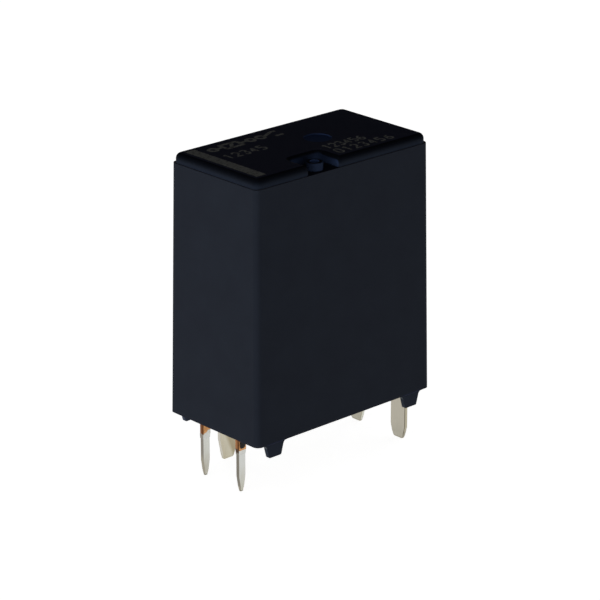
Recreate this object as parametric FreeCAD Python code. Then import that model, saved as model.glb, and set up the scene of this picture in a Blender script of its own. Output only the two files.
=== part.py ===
import FreeCAD, Part
import math
import os

# Sealed board relay with one changeover contact, in millimetres.
# The origin is the centre of the seating plane, which the undersides of the four feet define. +X points to
# the contact end, -X to the coil end, -Y to the front long side and +Z up. The armature is drawn released.

# Cover: a drafted shell with a stepped cap
cover_length = 22.4
cover_width = 12.5
foot_height = 1.4
body_height = 24.77
cap_height = 0.95
draft = 0.0145
wall = 0.65
roof = 1.0
ledge = 0.12
body_corner = 0.6
cap_corner = 0.7
cap_round = 0.55
cavity_corner = 0.3

# Notch in the front edge of the cap, with the closed vent stub that stands in it
notch_left = -4.28
notch_right = -0.6
notch_depth = 2.82
notch_corner = 0.55
notch_mouth_round = 0.35
notch_floor = 0.85
stub_x = -2.6
stub_inset = 1.17
stub_radius = 0.8
stub_height = 0.75
stub_edge = 0.06
stub_bore_radius = 0.43
stub_bore_depth = 0.5

# Round gate dimple on the cap
gate_x = 2.1
gate_y = 0.0
gate_radius = 1.33
gate_depth = 0.16

# Feet under the long walls
foot_left_inset = 2.28
foot_right_inset = 2.48
foot_tip_width = 1.5
foot_root_width = 2.25
foot_flare = 0.5
foot_tip_round = 0.15
foot_recess = 0.1
foot_thickness = 0.42

# Base plate, its tower and the resin that seals it
resin_recess = 0.2
resin_thickness = 0.5
resin_climb = 0.3
resin_climb_wrapped = 0.6
resin_climb_reach = 0.3
resin_climb_edge = 0.03
base_thickness = 1.7
fit_gap = 0.05
slot_gap = 0.04
tower_thickness = 1.0
tower_drop = 1.3
tower_side_gap = 0.7
tower_rib = 0.38
yoke_rib_height = 0.7
yoke_rib_thickness = 0.6
yoke_rib_length = 1.6
yoke_rib_setback = 1.7

# Terminals
terminal_reach = 4.38
coil_pin_pitch = 5.08
coil_pin_inset = 1.2
coil_pin_width = 0.8
coil_pin_thickness = 0.4
coil_pin_point = 1.6
coil_pin_tip_width = 0.28
coil_pin_head = 0.3
blade_width = 1.93
blade_thickness = 0.4
blade_point = 1.3
blade_tip_width = 1.25
blade_side_round = 1.2
blade_tip_round = 0.22
tip_thinning = 0.1
tip_thinning_height = 0.6
contact_blade_inset = 1.32
no_blade_inset = 2.84
nc_blade_inset = 3.72
strip_width = 2.4
strip_bend = 0.25
common_blade_width = 2.2
common_blade_point = 2.2
common_blade_tip_width = 1.3
common_blade_end_inset = 5.43
common_blade_side_inset = 2.1
common_top_gap = 0.1

# Coil wire: the winding, its two leads and the wraps round the coil pins
coil_wire = 0.1
wire_sides = 6
wrap_turns = 20
lead_bend = 0.5
lead_bend_steps = 3
lead_offset = 0.15
lead_height = 1.35
lead_sink = 0.15
wire_notch_width = 0.5
wire_notch_depth = 0.85
solder_height = 0.45
solder_foot = 0.02

# Magnet system
yoke_thickness = 1.0
yoke_bend = 0.35
yoke_inset = 1.7
pole_drop = 5.12
core_radius = 2.1
core_spigot_radius = 1.6
core_head_radius = 3.4
core_head_thickness = 0.8
press_gap = 0.02
bobbin_tube = 0.5
bobbin_gap = 0.05
flange_thickness = 0.8
flange_side_gap = 0.8
flange_corner = 0.6
bobbin_foot = 0.7
flange_rim = 0.65
flange_rim_height = 0.6
winding_margin = 0.5
winding_gap = 0.03
winding_yoke_gap = 0.5

# Armature, hinged on the top back edge of the yoke
armature_travel = 4.0
residual_gap = 0.03
armature_thickness = 1.0
armature_overhang = 0.9
armature_front_round = 0.18
armature_back_gap = 0.04
armature_back_round = 0.95
armature_taper_length = 1.4
armature_nose_width = 5.2

# Contact spring and its rivets
spring_thickness = 0.12
spring_bend = 0.8
spring_width = 6.4
spring_tongue_length = 8.0
spring_window_width = 3.0
spring_window_drop = 1.6
spring_window_length = 1.3
spring_arm_width = 3.4
spring_end_flat = 0.02
spring_taper_lead = 0.4
spring_taper_length = 2.4
rivet_hole_gap = 0.02
rivet_head_taper = 0.18
armature_rivet_setback = 2.9
armature_rivet_spacing = 3.8
armature_rivet_radius = 0.45
armature_rivet_head_radius = 0.8
armature_rivet_head = 0.3
armature_rivet_recess = 0.05
yoke_rivet_drop = 5.6
yoke_rivet_spacing = 3.4
yoke_rivet_radius = 0.5
yoke_rivet_head_radius = 0.9
yoke_rivet_head = 0.35

# Contacts
contact_setback = 4.88
contact_radius = 1.2
contact_head = 0.5
contact_shank_radius = 0.5
contact_flat_radius = 0.4
contact_crown = 0.14
contact_gap = 0.03
fixed_contact_head = 0.4
fixed_contact_shank_radius = 0.6
fixed_contact_tail_radius = 0.9
fixed_contact_tail = 0.2
tab_width = 3.0
tab_corner = 0.8
tab_neck_length = 1.88

# Heights that follow from the sizes above
wall_bottom = foot_height
step_height = wall_bottom + body_height
cap_top = step_height + cap_height
cavity_top = cap_top - roof
resin_bottom = wall_bottom + resin_recess
base_bottom = resin_bottom + resin_thickness
base_top = base_bottom + base_thickness
tip_level = -terminal_reach
lead_level = resin_bottom + resin_thickness / 2
wrap_top = lead_level + coil_wire / 2
wrap_bottom = wrap_top - wrap_turns * coil_wire
yoke_leg_top = base_top + yoke_thickness
pole_height = cavity_top - pole_drop
flange_top_z = pole_height - core_head_thickness
hinge_z = pole_height + residual_gap
armature_top = hinge_z + armature_thickness
spring_top = armature_top + spring_thickness

# Places along the width
cap_half_y = cover_width / 2 - draft * body_height - ledge
notch_back = notch_depth - cap_half_y
stub_y = stub_inset - cap_half_y
common_blade_y = cover_width / 2 - common_blade_side_inset
no_blade_y = no_blade_inset - cover_width / 2
nc_blade_y = cover_width / 2 - nc_blade_inset
yoke_half_width = common_blade_y - blade_thickness / 2
flange_half_width = cover_width / 2 - wall - flange_side_gap
winding_radius = flange_half_width - winding_margin
tube_radius = core_radius + bobbin_gap + bobbin_tube
tower_half_width = cover_width / 2 - wall - tower_side_gap

# Places along the length: the magnet system from the coil end, the contacts from the other end
left_end = -cover_length / 2
right_end = cover_length / 2
foot_left_x = left_end + foot_left_inset
foot_right_x = right_end - foot_right_inset
coil_pin_x = left_end + coil_pin_inset
lead_x = coil_pin_x + lead_offset
common_blade_x = left_end + common_blade_end_inset
yoke_back_x = left_end + yoke_inset
yoke_inner_x = yoke_back_x + yoke_thickness
core_x = yoke_inner_x + winding_yoke_gap + winding_radius
bobbin_back_x = yoke_inner_x + fit_gap
bobbin_front_x = 2 * core_x - bobbin_back_x
yoke_front_x = bobbin_front_x - bobbin_foot - fit_gap
yoke_rib_x = yoke_front_x - yoke_rib_setback
armature_front_x = core_x + core_head_radius + armature_overhang
armature_rivet_x = yoke_back_x + armature_rivet_setback
contact_blade_x = right_end - contact_blade_inset
strip_outer_x = contact_blade_x + blade_thickness / 2
strip_inner_x = contact_blade_x - blade_thickness / 2
contact_x = contact_blade_x - contact_setback
spring_end_x = contact_x + spring_arm_width / 2

# The fixed face that meets the moving contact when the armature is pulled in
no_face_z = armature_top - contact_head - contact_gap
no_tab_top = no_face_z - fixed_contact_head
tower_top = no_tab_top - blade_thickness - tower_drop

# The fixed face that the moving contact's upper crown rests against when the armature is released
travel = math.radians(armature_travel)
crown_reach = contact_x + contact_flat_radius - yoke_back_x
crown_rise = spring_top + contact_head - hinge_z
nc_face_z = hinge_z + crown_reach * math.sin(travel) + crown_rise * math.cos(travel) + contact_gap
nc_tab_top = nc_face_z + fixed_contact_head + blade_thickness

# How far a cutter runs past the face that it cuts, the nearest that two points lie and still count as one,
# and how much of an edge's length is its rise where it counts as running up and down
overshoot = 1.0
tolerance = 1e-4
upright_share = 0.9

origin = FreeCAD.Vector(0, 0, 0)
along_x = FreeCAD.Vector(1, 0, 0)
along_y = FreeCAD.Vector(0, 1, 0)
along_z = FreeCAD.Vector(0, 0, 1)


def rounded_wire(corners):
    """A closed wire in the XY plane through corners of (x, y, radius), each rounded by a tangent arc."""
    count = len(corners)
    starts = []
    ends = []
    edges = []
    for index in range(count):
        here = FreeCAD.Vector(corners[index][0], corners[index][1], 0)
        radius = corners[index][2]
        if radius == 0:
            starts.append(here)
            ends.append(here)
            continue
        before = FreeCAD.Vector(corners[index - 1][0], corners[index - 1][1], 0)
        after = FreeCAD.Vector(corners[(index + 1) % count][0], corners[(index + 1) % count][1], 0)
        to_before = (before - here).normalize()
        to_after = (after - here).normalize()
        half_angle = to_before.getAngle(to_after) / 2
        run = radius / math.tan(half_angle)
        middle = (to_before + to_after).normalize()
        arc_start = here + to_before * run
        arc_end = here + to_after * run
        arc_middle = here + middle * (radius / math.sin(half_angle) - radius)
        starts.append(arc_start)
        ends.append(arc_end)
        edges.append(Part.Arc(arc_start, arc_middle, arc_end).toShape())
    for index in range(count):
        line_end = starts[(index + 1) % count]
        if ends[index].distanceToPoint(line_end) > tolerance:
            edges.append(Part.LineSegment(ends[index], line_end).toShape())
    return Part.Wire(Part.__sortEdges__(edges))


def plate(corners, z_low, z_high):
    """A flat piece: an (x, y) outline between two heights."""
    solid = Part.Face(rounded_wire(corners)).extrude(along_z * (z_high - z_low))
    solid.translate(along_z * z_low)
    return solid


def side_profile(corners, y_low, y_high):
    """A piece with one (x, z) outline all the way from y_low to y_high."""
    solid = plate(corners, -y_high, -y_low)
    solid.rotate(origin, along_x, 90)
    return solid


def end_profile(corners, x_low, x_high):
    """A piece with one (y, z) outline all the way from x_low to x_high."""
    solid = plate(corners, x_low, x_high)
    solid.rotate(origin, FreeCAD.Vector(1, 1, 1), 120)
    return solid


def turned(points, x, y):
    """A closed outline of (radius, z) points turned about an upright axis."""
    ring = [FreeCAD.Vector(radius, 0, z) for radius, z in points]
    solid = Part.Face(Part.makePolygon(ring + ring[:1])).revolve(origin, along_z, 360)
    solid.translate(FreeCAD.Vector(x, y, 0))
    return solid


def block(x_low, x_high, y_low, y_high, z_low, z_high):
    corner = FreeCAD.Vector(x_low, y_low, z_low)
    return Part.makeBox(x_high - x_low, y_high - y_low, z_high - z_low, corner)


def upright(x, y, radius, z_low, z_high):
    return Part.makeCylinder(radius, z_high - z_low, FreeCAD.Vector(x, y, z_low))


def runs_upright(edge):
    return edge.BoundBox.ZLength > upright_share * edge.Length


def drafted_block(half_x, half_y, z_low, z_high, corner):
    """A block whose four sides lean inwards by the draft, with its upright edges rounded."""
    lean = draft * (z_high - z_low)
    wedge = Part.makeWedge(-half_x, z_low, -half_y, lean - half_y, lean - half_x,
                           half_x, z_high, half_y, half_y - lean, half_x - lean)
    wedge.rotate(origin, along_x, 90)
    return wedge.makeFillet(corner, [edge for edge in wedge.Edges if runs_upright(edge)])


def cover_half_x(z):
    return cover_length / 2 - draft * (z - wall_bottom)


def cover_half_y(z):
    return cover_width / 2 - draft * (z - wall_bottom)


def rectangle(x_low, x_high, y_low, y_high, radius):
    return [(x_low, y_low, radius), (x_high, y_low, radius), (x_high, y_high, radius), (x_low, y_high, radius)]


def cavity():
    """The drafted space inside the cover's walls, open at the bottom."""
    half_x = cover_half_x(wall_bottom) - wall
    half_y = cover_half_y(wall_bottom) - wall
    return drafted_block(half_x, half_y, wall_bottom, cavity_top, cavity_corner)


def foot(centre_x, side):
    """One flared foot under the wall, set back from its outside by a small slope."""
    tip = foot_tip_width / 2
    root = foot_root_width / 2
    sunk = root + foot_flare
    corners = [
        (centre_x - sunk, wall_bottom + foot_flare, 0),
        (centre_x - sunk, wall_bottom, 0),
        (centre_x - root, wall_bottom, foot_flare),
        (centre_x - tip, 0, foot_tip_round),
        (centre_x + tip, 0, foot_tip_round),
        (centre_x + root, wall_bottom, foot_flare),
        (centre_x + sunk, wall_bottom, 0),
        (centre_x + sunk, wall_bottom + foot_flare, 0),
    ]
    outside = side * cover_width / 2
    recessed = outside - side * foot_recess
    inside = recessed - side * foot_thickness
    section = [
        (inside, 0, 0),
        (recessed, 0, 0),
        (recessed, wall_bottom - foot_recess, 0),
        (outside, wall_bottom, 0),
        (recessed, wall_bottom + foot_recess, 0),
        (recessed, wall_bottom + foot_flare, 0),
        (inside, wall_bottom + foot_flare, 0),
    ]
    broad = side_profile(corners, -cover_width / 2, cover_width / 2)
    return broad.common(end_profile(section, centre_x - sunk, centre_x + sunk))


def make_cap():
    """The stepped cap with its front notch, all its top edges rounded."""
    half_x = cover_half_x(step_height) - ledge
    cap = drafted_block(half_x, cap_half_y, step_height, cap_top, cap_corner)
    notch_corners = [
        (notch_left, -cap_half_y - overshoot, 0),
        (notch_right, -cap_half_y - overshoot, 0),
        (notch_right, notch_back, notch_corner),
        (notch_left, notch_back, notch_corner),
    ]
    cap = cap.cut(plate(notch_corners, step_height - overshoot, cap_top + overshoot))
    mouth = []
    for edge in cap.Edges:
        middle = edge.CenterOfMass
        at_side = min(abs(middle.x - notch_left), abs(middle.x - notch_right)) < tolerance
        if at_side and runs_upright(edge) and middle.y < stub_y:
            mouth.append(edge)
    cap = cap.makeFillet(notch_mouth_round, mouth)
    rim = []
    for edge in cap.Edges:
        if edge.BoundBox.ZLength < tolerance and abs(edge.CenterOfMass.z - cap_top) < tolerance:
            rim.append(edge)
    return cap.makeFillet(cap_round, rim)


def make_stub():
    """The hollow stub that vents the relay while it is sealed, closed at its foot."""
    top = step_height + stub_height
    floor = top - stub_bore_depth
    root = step_height - notch_floor / 2
    points = [
        (0, root),
        (stub_radius, root),
        (stub_radius, top - stub_edge),
        (stub_radius - stub_edge, top),
        (stub_bore_radius, top),
        (stub_bore_radius, floor),
        (0, floor),
    ]
    return turned(points, stub_x, stub_y)


def make_cover():
    body = drafted_block(cover_length / 2, cover_width / 2, wall_bottom, step_height, body_corner)
    shell = body.fuse([make_cap(), make_stub()])
    boss = block(notch_left - wall, notch_right + wall, -cover_width, notch_back + wall,
                 step_height - notch_floor, cap_top)
    shell = shell.cut(cavity().cut(boss))
    feet = []
    for centre_x in (foot_left_x, foot_right_x):
        for side in (-1, 1):
            feet.append(foot(centre_x, side))
    shell = shell.fuse(feet)
    dimple = upright(gate_x, gate_y, gate_radius, cap_top - gate_depth, cap_top + gate_depth)
    return shell.cut(dimple).removeSplitter()


def terminal_sections(gap, z_low, z_high):
    """Upright blocks of the five terminals' sections, widened by a gap, to cut their slots with."""
    across = blade_width / 2 + gap
    through = blade_thickness / 2 + gap
    cutters = []
    for y in (no_blade_y, nc_blade_y):
        cutters.append(block(contact_blade_x - through, contact_blade_x + through, y - across, y + across,
                             z_low, z_high))
    across = common_blade_width / 2 + gap
    cutters.append(block(common_blade_x - across, common_blade_x + across, common_blade_y - through,
                         common_blade_y + through, z_low, z_high))
    pin_x = coil_pin_width / 2 + gap
    pin_y = coil_pin_thickness / 2 + gap
    for side in (-1, 1):
        y = side * coil_pin_pitch / 2
        top = min(z_high, base_top - coil_pin_head + gap)
        cutters.append(block(coil_pin_x - pin_x, coil_pin_x + pin_x, y - pin_y, y + pin_y, z_low, top))
    return cutters


def lead_y(side):
    """Where each lead runs: just outside the yoke's edge."""
    return side * (yoke_half_width + lead_sink + coil_wire / 2)


def make_base():
    """The base plate, the ribs that locate the yoke and the tower that guides the two contact strips."""
    half_x = cover_half_x(base_top) - wall - fit_gap
    half_y = cover_half_y(base_top) - wall - fit_gap
    base = plate(rectangle(-half_x, half_x, -half_y, half_y, cavity_corner), base_bottom, base_top)
    for side in (-1, 1):
        inner = side * (yoke_half_width + fit_gap)
        outer = inner + side * yoke_rib_thickness
        rib = block(yoke_rib_x - yoke_rib_length, yoke_rib_x, min(inner, outer), max(inner, outer),
                    base_bottom, base_top + yoke_rib_height)
        base = base.fuse(rib)
    tower_face = strip_inner_x - slot_gap
    tower = block(tower_face - tower_thickness, tower_face, -tower_half_width, tower_half_width,
                  base_bottom, tower_top)
    rib_low = no_blade_y + strip_width / 2 + slot_gap
    rib_high = nc_blade_y - strip_width / 2 - slot_gap
    rib = block(tower_face, tower_face + tower_rib, rib_low, rib_high, base_bottom, tower_top)
    base = base.fuse([tower, rib])
    base = base.cut(terminal_sections(slot_gap, base_bottom - overshoot, base_top))
    for side in (-1, 1):
        y = lead_y(side)
        notch = block(-half_x - overshoot, wire_notch_depth - half_x, y - wire_notch_width / 2,
                      y + wire_notch_width / 2, base_bottom - overshoot, base_top + overshoot)
        base = base.cut(notch)
    return base.removeSplitter()


def lead_route(side):
    """One lead: off the winding, down past the yoke's edge and, inside the resin, across to its coil pin."""
    y = lead_y(side)
    level = yoke_leg_top + flange_thickness + winding_gap + lead_height
    pin_side = side * (coil_pin_pitch / 2 + coil_pin_thickness / 2 + coil_wire / 2)
    return wire_route([
        FreeCAD.Vector(core_x, y, level),
        FreeCAD.Vector(lead_x, y, level),
        FreeCAD.Vector(lead_x, y, lead_level),
        FreeCAD.Vector(lead_x, pin_side, lead_level),
    ])


def climbed_resin(x, y, length, width, covered, climb):
    """Where the resin crept down a terminal of length by width that stands in it, over a covering on its faces."""
    thin = covered + resin_climb_edge
    wide = covered + resin_climb_reach
    return ringed_solid([
        section_ring(x, y, length, width, thin, resin_bottom - climb),
        section_ring(x, y, length, width, wide, resin_bottom),
        section_ring(x, y, length, width, wide, base_bottom),
    ])


def make_resin():
    """The resin bonds to the cover's walls, the terminals and the leads, and fills level below the base."""
    creeps = [climbed_resin(common_blade_x, common_blade_y, common_blade_width, blade_thickness, 0, resin_climb)]
    for y in (no_blade_y, nc_blade_y):
        creeps.append(climbed_resin(contact_blade_x, y, blade_thickness, blade_width, 0, resin_climb))
    for side in (-1, 1):
        creeps.append(climbed_resin(coil_pin_x, side * coil_pin_pitch / 2, coil_pin_width, coil_pin_thickness,
                                    coil_wire, resin_climb_wrapped))
    half_x = cover_half_x(base_bottom) - wall
    half_y = cover_half_y(base_bottom) - wall
    inside = block(-half_x, half_x, -half_y, half_y, resin_bottom - resin_climb_wrapped - overshoot, base_bottom)
    layer = cavity().common(block(-cover_length, cover_length, -cover_width, cover_width,
                                  resin_bottom, base_bottom))
    layer = layer.fuse([creep.common(inside) for creep in creeps])
    layer = layer.cut(terminal_sections(0, wrap_bottom, base_bottom + overshoot))
    for side in (-1, 1):
        wrapped = ringed_solid([pin_ring(side, coil_wire, wrap_bottom), pin_ring(side, coil_wire, wrap_top)])
        layer = layer.cut([wrapped, lead_route(side)])
    return layer.removeSplitter()


def blade_outline(centre, top, width, tip_width, point):
    """The blade's broad side: a pointed end, straight sides and a shoulder that sits on the base."""
    tip = tip_width / 2
    half = width / 2
    wide = strip_width / 2
    taper_top = tip_level + point
    return [
        (centre - tip, tip_level, blade_tip_round),
        (centre + tip, tip_level, blade_tip_round),
        (centre + half, taper_top, blade_side_round),
        (centre + half, base_top, 0),
        (centre + wide, base_top, 0),
        (centre + wide, top, 0),
        (centre - wide, top, 0),
        (centre - wide, base_top, 0),
        (centre - half, base_top, 0),
        (centre - half, taper_top, blade_side_round),
    ]


def thinned_end(low, high):
    """The lower end of a strip seen on its edge, coined a little thinner at the tip."""
    return [
        (low, tip_level + tip_thinning_height, 0),
        (low + tip_thinning, tip_level, 0),
        (high - tip_thinning, tip_level, 0),
        (high, tip_level + tip_thinning_height, 0),
    ]


def bent_terminal(blade_y, tab_top, tab_outline):
    """A contact strip: blade below, upright strip, and a tab bent over towards the contacts."""
    tab_bottom = tab_top - blade_thickness
    bend_x = strip_inner_x - strip_bend
    end_x = contact_x - tab_width / 2
    folded = thinned_end(strip_inner_x, strip_outer_x) + [
        (strip_outer_x, tab_top, strip_bend + blade_thickness),
        (end_x, tab_top, 0),
        (end_x, tab_bottom, 0),
        (strip_inner_x, tab_bottom, strip_bend),
    ]
    folded = side_profile(folded, -cover_width / 2, cover_width / 2)
    outline = blade_outline(blade_y, tab_top, blade_width, blade_tip_width, blade_point)
    strip = end_profile(outline, bend_x, strip_outer_x)
    tab = plate(tab_outline, tab_bottom, tab_top)
    tab = tab.cut(upright(contact_x, 0, fixed_contact_shank_radius + press_gap, tab_bottom - overshoot,
                          tab_top + overshoot))
    return folded.common(strip.fuse(tab)).removeSplitter()


def tab_corners(blade_y):
    """The tab runs from the strip to a pad under or over the moving contact."""
    side = 1 if blade_y > 0 else -1
    bend_x = strip_inner_x - strip_bend
    outer = blade_y + side * strip_width / 2
    inner = blade_y - side * strip_width / 2
    half = tab_width / 2
    neck_x = contact_blade_x - tab_neck_length
    return [
        (bend_x, outer, 0),
        (bend_x, inner, 0),
        (neck_x, inner, tab_corner / 2),
        (contact_x + half, -side * half, tab_corner / 2),
        (contact_x - half, -side * half, tab_corner),
        (contact_x - half, side * half, tab_corner),
        (contact_x + half, outer, tab_corner),
    ]


def make_common_terminal():
    """The common strip, welded to the edge of the yoke's bottom leg."""
    top = yoke_leg_top - common_top_gap
    low = common_blade_y - blade_thickness / 2
    high = common_blade_y + blade_thickness / 2
    outline = blade_outline(common_blade_x, top, common_blade_width, common_blade_tip_width, common_blade_point)
    strip = side_profile(outline, low, high)
    edge_view = thinned_end(low, high) + [(high, top, 0), (low, top, 0)]
    return strip.common(end_profile(edge_view, -cover_length / 2, cover_length / 2))


def make_coil_terminal(side):
    """A narrow strip pin with a bullet point."""
    y = side * coil_pin_pitch / 2
    top = base_top - coil_pin_head
    half = coil_pin_width / 2
    tip = coil_pin_tip_width / 2
    point_top = tip_level + coil_pin_point
    broad = [
        (coil_pin_x - tip, tip_level, tip / 2),
        (coil_pin_x + tip, tip_level, tip / 2),
        (coil_pin_x + half, point_top, blade_side_round),
        (coil_pin_x + half, top, 0),
        (coil_pin_x - half, top, 0),
        (coil_pin_x - half, point_top, blade_side_round),
    ]
    low = y - coil_pin_thickness / 2
    high = y + coil_pin_thickness / 2
    edge_view = thinned_end(low, high) + [(high, top, 0), (low, top, 0)]
    pin = side_profile(broad, low, high)
    return pin.common(end_profile(edge_view, -cover_length / 2, cover_length / 2))


def section_ring(x, y, length, width, margin, z):
    """The four corners of an upright bar's section at one height, margin outside its faces."""
    half_x = length / 2 + margin
    half_y = width / 2 + margin
    points = [(half_x, -half_y), (half_x, half_y), (-half_x, half_y), (-half_x, -half_y)]
    return [FreeCAD.Vector(x + px, y + py, z) for px, py in points]


def pin_ring(side, margin, z):
    return section_ring(coil_pin_x, side * coil_pin_pitch / 2, coil_pin_width, coil_pin_thickness, margin, z)


def polygon_face(points):
    return Part.Face(Part.makePolygon(points + points[:1]))


def ringed_solid(rings):
    """A solid of flat faces between rings of corners that are listed from the bottom up."""
    faces = [polygon_face(rings[0][::-1]), polygon_face(rings[-1])]
    for lower, upper in zip(rings, rings[1:]):
        for index in range(len(lower)):
            following = (index + 1) % len(lower)
            faces.append(polygon_face([lower[index], lower[following], upper[following], upper[index]]))
    shell = Part.Shell(faces)
    shell.sewShape()
    return Part.Solid(shell)


def make_wrap(side):
    """The lead's end wound closely round its pin, each turn a ridge."""
    rings = [pin_ring(side, coil_wire / 2, wrap_bottom)]
    for turn in range(wrap_turns):
        turn_bottom = wrap_bottom + turn * coil_wire
        rings.append(pin_ring(side, coil_wire, turn_bottom + coil_wire / 2))
        rings.append(pin_ring(side, coil_wire / 2, turn_bottom + coil_wire))
    return ringed_solid(rings)


def wire_ring(centre, direction):
    """The corners of the wire's section, square to its direction."""
    turn = FreeCAD.Rotation(along_z, direction)
    ring = []
    for index in range(wire_sides):
        angle = math.tau * (index + 0.5) / wire_sides
        spoke = FreeCAD.Vector(math.cos(angle), math.sin(angle), 0) * (coil_wire / 2)
        ring.append(centre + turn.multVec(spoke))
    return ring


def moved_ring(ring, step):
    return [point + step for point in ring]


def turned_ring(ring, centre, axis, angle):
    turn = FreeCAD.Rotation(axis, angle)
    return [centre + turn.multVec(point - centre) for point in ring]


def wire_route(points):
    """A wire along straight runs that meet at right angles, with a tangent bend at each corner."""
    last = len(points) - 1
    ring = wire_ring(points[0], points[1] - points[0])
    rings = [ring]
    for index in range(last):
        run = points[index + 1] - points[index]
        direction = FreeCAD.Vector(run).normalize()
        bends = (index > 0) + (index + 1 < last)
        ring = moved_ring(ring, direction * (run.Length - bends * lead_bend))
        rings.append(ring)
        if index + 1 < last:
            onward = (points[index + 2] - points[index + 1]).normalize()
            centre = points[index + 1] + (onward - direction) * lead_bend
            for step in range(lead_bend_steps):
                ring = turned_ring(ring, centre, direction.cross(onward), 90 / lead_bend_steps)
                rings.append(ring)
    return ringed_solid(rings)


def make_winding():
    """The winding with its two leads, which drop past the yoke's edges and wrap round the coil pins."""
    low = yoke_leg_top + flange_thickness + winding_gap
    high = flange_top_z - flange_thickness - winding_gap
    inner = tube_radius + winding_gap
    coil = turned([(inner, low), (winding_radius, low), (winding_radius, high), (inner, high)], core_x, 0)
    pieces = []
    for side in (-1, 1):
        pieces.append(lead_route(side))
        pieces.append(make_wrap(side))
    coil = coil.fuse(pieces)
    return coil.cut(terminal_sections(0, wrap_bottom - overshoot, base_top)).removeSplitter()


def make_coil_solder():
    """The solder fillet below each wrap."""
    fillets = []
    for side in (-1, 1):
        fillet = ringed_solid([pin_ring(side, solder_foot, wrap_bottom - solder_height),
                               pin_ring(side, coil_wire / 2, wrap_bottom)])
        fillets.append(fillet.cut(terminal_sections(0, tip_level, wrap_top)))
    return Part.makeCompound(fillets)


def make_yoke():
    """The L of soft iron: one leg under the coil, one up its back to the hinge edge."""
    corners = [
        (yoke_back_x, base_top, yoke_bend + yoke_thickness),
        (yoke_front_x, base_top, 0),
        (yoke_front_x, yoke_leg_top, 0),
        (yoke_inner_x, yoke_leg_top, yoke_bend),
        (yoke_inner_x, pole_height, 0),
        (yoke_back_x, pole_height, 0),
    ]
    yoke = side_profile(corners, -yoke_half_width, yoke_half_width)
    yoke = yoke.cut(upright(core_x, 0, core_spigot_radius + press_gap, base_top - overshoot,
                            yoke_leg_top + overshoot))
    return yoke.cut(yoke_rivet_holes())


def make_core():
    points = [
        (0, base_top),
        (core_spigot_radius, base_top),
        (core_spigot_radius, yoke_leg_top),
        (core_radius, yoke_leg_top),
        (core_radius, flange_top_z),
        (core_head_radius, flange_top_z),
        (core_head_radius, pole_height),
        (0, pole_height),
    ]
    return turned(points, core_x, 0)


def flange_outline():
    """The bobbin's flange seen from above: a rectangle with its corners cut off."""
    back = bobbin_back_x
    front = bobbin_front_x
    side = flange_half_width
    cut = flange_corner
    points = [
        (back + cut, -side), (front - cut, -side), (front, cut - side), (front, side - cut),
        (front - cut, side), (back + cut, side), (back, side - cut), (back, cut - side),
    ]
    return [(x, y, 0) for x, y in points]


def make_bobbin():
    """The spool: a tube between two flanges, a foot in front of the yoke and rims that guide the armature."""
    lower = plate(flange_outline(), yoke_leg_top, yoke_leg_top + flange_thickness)
    upper = plate(flange_outline(), flange_top_z - flange_thickness, flange_top_z)
    tube = upright(core_x, 0, tube_radius, yoke_leg_top, flange_top_z)
    foot_half_width = flange_half_width - flange_corner
    front_foot = block(yoke_front_x + fit_gap, bobbin_front_x, -foot_half_width, foot_half_width,
                       base_top, yoke_leg_top + flange_thickness)
    bobbin = lower.fuse([upper, tube, front_foot])
    for side in (-1, 1):
        outer = side * flange_half_width
        inner = outer - side * flange_rim
        rim = block(bobbin_back_x + flange_corner, bobbin_front_x - flange_corner, min(outer, inner),
                    max(outer, inner), flange_top_z, flange_top_z + flange_rim_height)
        bobbin = bobbin.fuse(rim)
    bore = upright(core_x, 0, core_radius + bobbin_gap, base_top, pole_height)
    relief_x = yoke_inner_x + yoke_bend + fit_gap
    relief_y = yoke_half_width + fit_gap
    relief = block(bobbin_back_x - overshoot, relief_x, -relief_y, relief_y, base_top,
                   yoke_leg_top + yoke_bend + fit_gap)
    return bobbin.cut([bore, relief]).removeSplitter()


def released(shape):
    """Turns a piece drawn with the armature pulled in to its place with the armature released."""
    shape.rotate(FreeCAD.Vector(yoke_back_x, 0, hinge_z), along_y, -armature_travel)
    return shape


def armature_rivet_places():
    return [(armature_rivet_x, side * armature_rivet_spacing / 2) for side in (-1, 1)]


def make_armature():
    back = yoke_back_x + armature_back_gap
    section = [
        (back, hinge_z, 0),
        (armature_front_x, hinge_z, 0),
        (armature_front_x, armature_top, armature_front_round),
        (back, armature_top, armature_back_round),
    ]
    nose = armature_nose_width / 2
    taper_x = armature_front_x - armature_taper_length
    plan = [
        (back, -yoke_half_width, 0),
        (taper_x, -yoke_half_width, 0),
        (armature_front_x, -nose, 0),
        (armature_front_x, nose, 0),
        (taper_x, yoke_half_width, 0),
        (back, yoke_half_width, 0),
    ]
    armature = side_profile(section, -yoke_half_width, yoke_half_width)
    armature = armature.common(plate(plan, hinge_z - overshoot, armature_top + overshoot))
    for x, y in armature_rivet_places():
        armature = armature.cut(upright(x, y, armature_rivet_radius + rivet_hole_gap, hinge_z - overshoot,
                                        armature_top + overshoot))
    return released(armature)


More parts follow.
